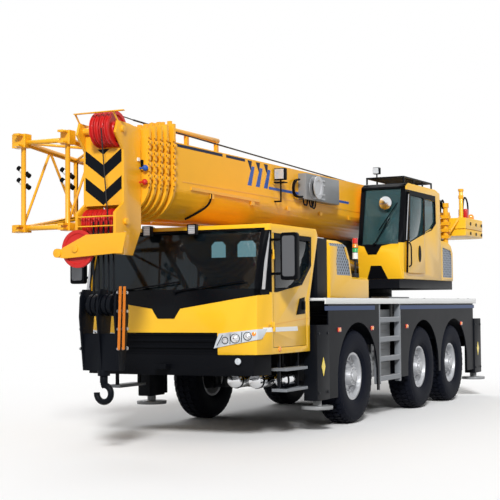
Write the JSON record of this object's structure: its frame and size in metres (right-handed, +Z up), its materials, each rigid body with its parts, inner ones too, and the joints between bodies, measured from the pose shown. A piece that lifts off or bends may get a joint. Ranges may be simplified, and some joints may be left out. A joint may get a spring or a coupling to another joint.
{
  "type": "three-axle telescopic mobile crane",
  "caption": "Yellow all-terrain mobile crane with a retracted telescopic boom, side-stowed lattice jib, slewing operator's cab, outriggers and big tyres.",
  "frame": {"origin": "on the ground, under the middle of the crane's length and width", "axes": "+X to the front of the crane along its boom, +Y to its left, +Z up"},
  "size_m": [11.505, 3.32, 3.9398],
  "materials": {
    "yellow_paint": "gloss",
    "boom_paint": "gloss",
    "black_paint": "satin",
    "steel": "satin",
    "aluminium": "satin",
    "rubber": "matte",
    "glass": "gloss",
    "red_plastic": "satin",
    "lamp_plastic": "gloss",
    "trim": "matte"
  },
  "bodies": {
    "carrier": {"chassis_frame": "black_paint", "deck": "yellow_paint", "side_panels": "black_paint", "carrier_cab": "yellow_paint", "carrier_cab_glass": "glass", "front_bumper": "black_paint", "carrier_cab_interior": "trim", "mirrors": "black_paint", "ladders_and_steps": "aluminium", "engine_hood": "yellow_paint", "engine_block": "steel", "tanks": "steel", "carrier_lamps": "lamp_plastic", "axle_beams": "steel"},
    "knuckle_1_left": {"knuckle_1_left": "steel"},
    "knuckle_1_right": {"knuckle_1_right": "steel"},
    "knuckle_3_left": {"knuckle_3_left": "steel"},
    "knuckle_3_right": {"knuckle_3_right": "steel"},
    "wheel_1_left": {"tyre_1_left": "rubber", "rim_1_left": "aluminium"},
    "wheel_1_right": {"tyre_1_right": "rubber", "rim_1_right": "aluminium"},
    "wheel_2_left": {"tyre_2_left": "rubber", "rim_2_left": "aluminium"},
    "wheel_2_right": {"tyre_2_right": "rubber", "rim_2_right": "aluminium"},
    "wheel_3_left": {"tyre_3_left": "rubber", "rim_3_left": "aluminium"},
    "wheel_3_right": {"tyre_3_right": "rubber", "rim_3_right": "aluminium"},
    "cab_door_left": {"cab_door_left": "yellow_paint"},
    "cab_door_right": {"cab_door_right": "yellow_paint"},
    "outrigger_beam_front_left": {"outrigger_beam_front_left": "black_paint"},
    "outrigger_jack_front_left": {"outrigger_jack_front_left": "black_paint"},
    "outrigger_beam_front_right": {"outrigger_beam_front_right": "black_paint"},
    "outrigger_jack_front_right": {"outrigger_jack_front_right": "black_paint"},
    "outrigger_beam_rear_left": {"outrigger_beam_rear_left": "black_paint"},
    "outrigger_jack_rear_left": {"outrigger_jack_rear_left": "black_paint"},
    "outrigger_beam_rear_right": {"outrigger_beam_rear_right": "black_paint"},
    "outrigger_jack_rear_right": {"outrigger_jack_rear_right": "black_paint"},
    "superstructure": {"turret_frame": "black_paint", "hoist_winch": "yellow_paint", "operator_cab": "yellow_paint", "operator_cab_glass": "glass", "operator_cab_interior": "trim", "side_hoods": "yellow_paint", "counterweight": "yellow_paint"},
    "operator_door": {"operator_door": "yellow_paint"},
    "boom": {"boom_base": "boom_paint", "jib": "boom_paint"},
    "boom_section_1": {"boom_section_1": "boom_paint"},
    "boom_section_2": {"boom_section_2": "boom_paint"},
    "boom_section_3": {"boom_section_3": "boom_paint"},
    "boom_section_4": {"boom_section_4": "boom_paint"},
    "boom_head": {"boom_head": "boom_paint", "sheaves": "red_plastic"},
    "hook_block": {"hook_block": "black_paint"},
    "hook": {"hook": "steel"},
    "luffing_barrel": {"luffing_barrel": "yellow_paint"},
    "luffing_rod": {"luffing_rod": "steel"}
  },
  "joints": [
    {"name": "steer_1_left", "type": "hinge", "parent": "carrier", "child": "knuckle_1_left", "pos_m": [1.0475, 0.92, 0.665], "axis": [0, 0, 1], "range_deg": [-32, 32]},
    {"name": "steer_1_right", "type": "hinge", "parent": "carrier", "child": "knuckle_1_right", "pos_m": [1.0475, -0.92, 0.665], "axis": [0, 0, 1], "range_deg": [-32, 32]},
    {"name": "steer_3_left", "type": "hinge", "parent": "carrier", "child": "knuckle_3_left", "pos_m": [-3.4225, 0.92, 0.665], "axis": [0, 0, 1], "range_deg": [-20, 20]},
    {"name": "steer_3_right", "type": "hinge", "parent": "carrier", "child": "knuckle_3_right", "pos_m": [-3.4225, -0.92, 0.665], "axis": [0, 0, 1], "range_deg": [-20, 20]},
    {"name": "roll_1_left", "type": "hinge", "parent": "knuckle_1_left", "child": "wheel_1_left", "pos_m": [1.0475, 1.13, 0.665], "axis": [0, 1, 0], "continuous": true},
    {"name": "roll_1_right", "type": "hinge", "parent": "knuckle_1_right", "child": "wheel_1_right", "pos_m": [1.0475, -1.13, 0.665], "axis": [0, 1, 0], "continuous": true},
    {"name": "roll_2_left", "type": "hinge", "parent": "carrier", "child": "wheel_2_left", "pos_m": [-1.8025, 1.13, 0.665], "axis": [0, 1, 0], "continuous": true},
    {"name": "roll_2_right", "type": "hinge", "parent": "carrier", "child": "wheel_2_right", "pos_m": [-1.8025, -1.13, 0.665], "axis": [0, 1, 0], "continuous": true},
    {"name": "roll_3_left", "type": "hinge", "parent": "knuckle_3_left", "child": "wheel_3_left", "pos_m": [-3.4225, 1.13, 0.665], "axis": [0, 1, 0], "continuous": true},
    {"name": "roll_3_right", "type": "hinge", "parent": "knuckle_3_right", "child": "wheel_3_right", "pos_m": [-3.4225, -1.13, 0.665], "axis": [0, 1, 0], "continuous": true},
    {"name": "cab_door_left_hinge", "type": "hinge", "parent": "carrier", "child": "cab_door_left", "pos_m": [3.7075, 1.312, 1.15], "axis": [0, 0, -1], "range_deg": [0, 70]},
    {"name": "cab_door_right_hinge", "type": "hinge", "parent": "carrier", "child": "cab_door_right", "pos_m": [3.7075, -1.312, 1.15], "axis": [0, 0, 1], "range_deg": [0, 70]},
    {"name": "outrigger_beam_front_left_slide", "type": "slide", "parent": "carrier", "child": "outrigger_beam_front_left", "axis": [0, 1, 0], "range_m": [0, 1.75]},
    {"name": "outrigger_jack_front_left_slide", "type": "slide", "parent": "outrigger_beam_front_left", "child": "outrigger_jack_front_left", "axis": [0, 0, -1], "range_m": [0, 0.55]},
    {"name": "outrigger_beam_front_right_slide", "type": "slide", "parent": "carrier", "child": "outrigger_beam_front_right", "axis": [0, -1, 0], "range_m": [0, 1.75]},
    {"name": "outrigger_jack_front_right_slide", "type": "slide", "parent": "outrigger_beam_front_right", "child": "outrigger_jack_front_right", "axis": [0, 0, -1], "range_m": [0, 0.55]},
    {"name": "outrigger_beam_rear_left_slide", "type": "slide", "parent": "carrier", "child": "outrigger_beam_rear_left", "axis": [0, 1, 0], "range_m": [0, 1.75]},
    {"name": "outrigger_jack_rear_left_slide", "type": "slide", "parent": "outrigger_beam_rear_left", "child": "outrigger_jack_rear_left", "axis": [0, 0, -1], "range_m": [0, 0.55]},
    {"name": "outrigger_beam_rear_right_slide", "type": "slide", "parent": "carrier", "child": "outrigger_beam_rear_right", "axis": [0, -1, 0], "range_m": [0, 1.75]},
    {"name": "outrigger_jack_rear_right_slide", "type": "slide", "parent": "outrigger_beam_rear_right", "child": "outrigger_jack_rear_right", "axis": [0, 0, -1], "range_m": [0, 0.55]},
    {"name": "slew", "type": "hinge", "parent": "carrier", "child": "superstructure", "pos_m": [-1.8525, 0, 1.855], "axis": [0, 0, 1], "continuous": true},
    {"name": "operator_door_slide", "type": "slide", "parent": "superstructure", "child": "operator_door", "axis": [-1, 0, 0], "range_m": [0, 0.72]},
    {"name": "boom_luff", "type": "hinge", "parent": "superstructure", "child": "boom", "pos_m": [-3.7525, 0, 3.15], "axis": [0, -1, 0], "range_deg": [0, 78]},
    {"name": "telescope_1", "type": "slide", "parent": "boom", "child": "boom_section_1", "axis": [1, 0, 0], "range_m": [0, 7.3]},
    {"name": "telescope_2", "type": "slide", "parent": "boom_section_1", "child": "boom_section_2", "axis": [1, 0, 0], "range_m": [0, 7.3]},
    {"name": "telescope_3", "type": "slide", "parent": "boom_section_2", "child": "boom_section_3", "axis": [1, 0, 0], "range_m": [0, 7.3]},
    {"name": "telescope_4", "type": "slide", "parent": "boom_section_3", "child": "boom_section_4", "axis": [1, 0, 0], "range_m": [0, 7.3]},
    {"name": "telescope_5", "type": "slide", "parent": "boom_section_4", "child": "boom_head", "axis": [1, 0, 0], "range_m": [0, 7.3]},
    {"name": "hook_block_swing", "type": "hinge", "parent": "boom_head", "child": "hook_block", "pos_m": [5.4425, 0, 2.645], "axis": [0, -1, 0], "range_deg": [-78, 0]},
    {"name": "hook_swivel", "type": "hinge", "parent": "hook_block", "child": "hook", "pos_m": [5.5828, 0.068, 0.89], "axis": [0, 0, 1], "continuous": true},
    {"name": "cylinder_tilt", "type": "hinge", "parent": "superstructure", "child": "luffing_barrel", "pos_m": [-2.2525, 0, 2.26], "axis": [0, -1, 0], "range_deg": [0, 83.69]},
    {"name": "cylinder_stroke", "type": "slide", "parent": "luffing_barrel", "child": "luffing_rod", "axis": [0.9921, 0, 0.1253], "range_m": [0, 2.1637]}
  ],
  "couplings": [
    {"joint": "steer_1_right", "follows": "steer_1_left", "ratio": 1},
    {"joint": "steer_3_left", "follows": "steer_1_left", "ratio": -0.6},
    {"joint": "steer_3_right", "follows": "steer_1_left", "ratio": -0.6},
    {"joint": "telescope_2", "follows": "telescope_1", "ratio": 1},
    {"joint": "telescope_3", "follows": "telescope_1", "ratio": 1},
    {"joint": "telescope_4", "follows": "telescope_1", "ratio": 1},
    {"joint": "telescope_5", "follows": "telescope_1", "ratio": 1},
    {"joint": "hook_block_swing", "follows": "boom_luff", "ratio": -1},
    {"joint": "cylinder_tilt", "follows": "boom_luff", "ratio": 1.0728},
    {"joint": "cylinder_stroke", "follows": "boom_luff", "m_per_rad": 1.5886}
  ]
}
